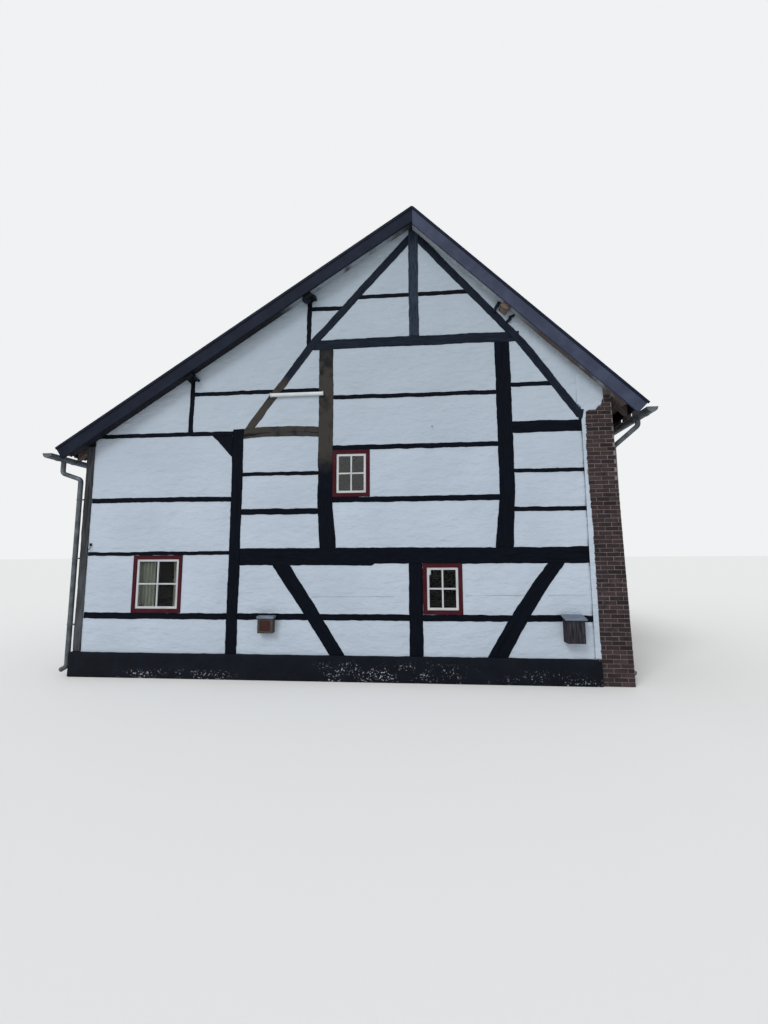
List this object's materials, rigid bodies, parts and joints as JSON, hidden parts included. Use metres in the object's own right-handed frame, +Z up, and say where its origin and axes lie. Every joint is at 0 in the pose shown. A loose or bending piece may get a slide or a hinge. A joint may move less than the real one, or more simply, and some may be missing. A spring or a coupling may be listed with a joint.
{
  "type": "half timbered house",
  "caption": "Half timbered house with black timbers and white lime-washed panels, one brick side wall, an uneven tiled gable roof, small red framed windows and zinc gutters",
  "frame": {"origin": "on the ground, in the middle of the house plan", "axes": "+X along the front gable to the right, +Y from the front gable to the back gable, +Z up"},
  "size_m": [10.817, 12.1, 8.6504],
  "materials": {
    "stone_floor": "worn",
    "floor_boards": "worn",
    "tarred_plinth": "rough",
    "brick": "rough",
    "weathered_timber": "rough",
    "tarred_timber": "rough",
    "roof_timber": "rough",
    "pale_boards": "matte",
    "lime_wash": "matte",
    "roof_tile": "matte",
    "verge_paint": "satin",
    "zinc": "satin",
    "red_paint": "satin",
    "white_paint": "satin",
    "brown_paint": "matte",
    "white_plastic": "matte",
    "window_glass": "gloss"
  },
  "bodies": {
    "root": {"ground_floor": "stone_floor", "first_floor": "floor_boards", "plinth": "tarred_plinth", "right_brick_wall": "brick", "corner_posts": "weathered_timber", "gable_posts": "tarred_timber", "gable_beams": "tarred_timber", "principal_rafters": "tarred_timber", "king_posts": "tarred_timber", "collar_beams": "tarred_timber", "purlin_struts": "tarred_timber", "gable_braces": "tarred_timber", "gable_rails": "tarred_timber", "gable_infill": "lime_wash", "side_wall_posts": "tarred_timber", "side_wall_braces": "tarred_timber", "side_wall_rails": "tarred_timber", "side_wall_infill": "lime_wash", "wall_plates": "tarred_timber", "purlins": "tarred_timber", "left_rafters": "roof_timber", "right_rafters": "roof_timber", "fascias": "verge_paint", "eave_infill": "lime_wash", "left_roof": "roof_tile", "right_roof": "roof_tile", "left_bargeboards": "verge_paint", "right_bargeboards": "verge_paint", "ridge_cap": "roof_tile", "verge_soffits": "pale_boards", "eave_soffit": "weathered_timber", "gutters": "zinc", "gutter_brackets": "zinc", "downpipes": "zinc", "pipe_clips": "zinc", "window_frames": "red_paint", "window_sashes": "white_paint", "window_panes": "window_glass", "door_frame": "red_paint", "plank_door": "tarred_timber", "nest_box": "weathered_timber", "small_box": "brown_paint", "box_lids": "weathered_timber", "wall_lamp": "white_plastic"}
  },
  "joints": []
}
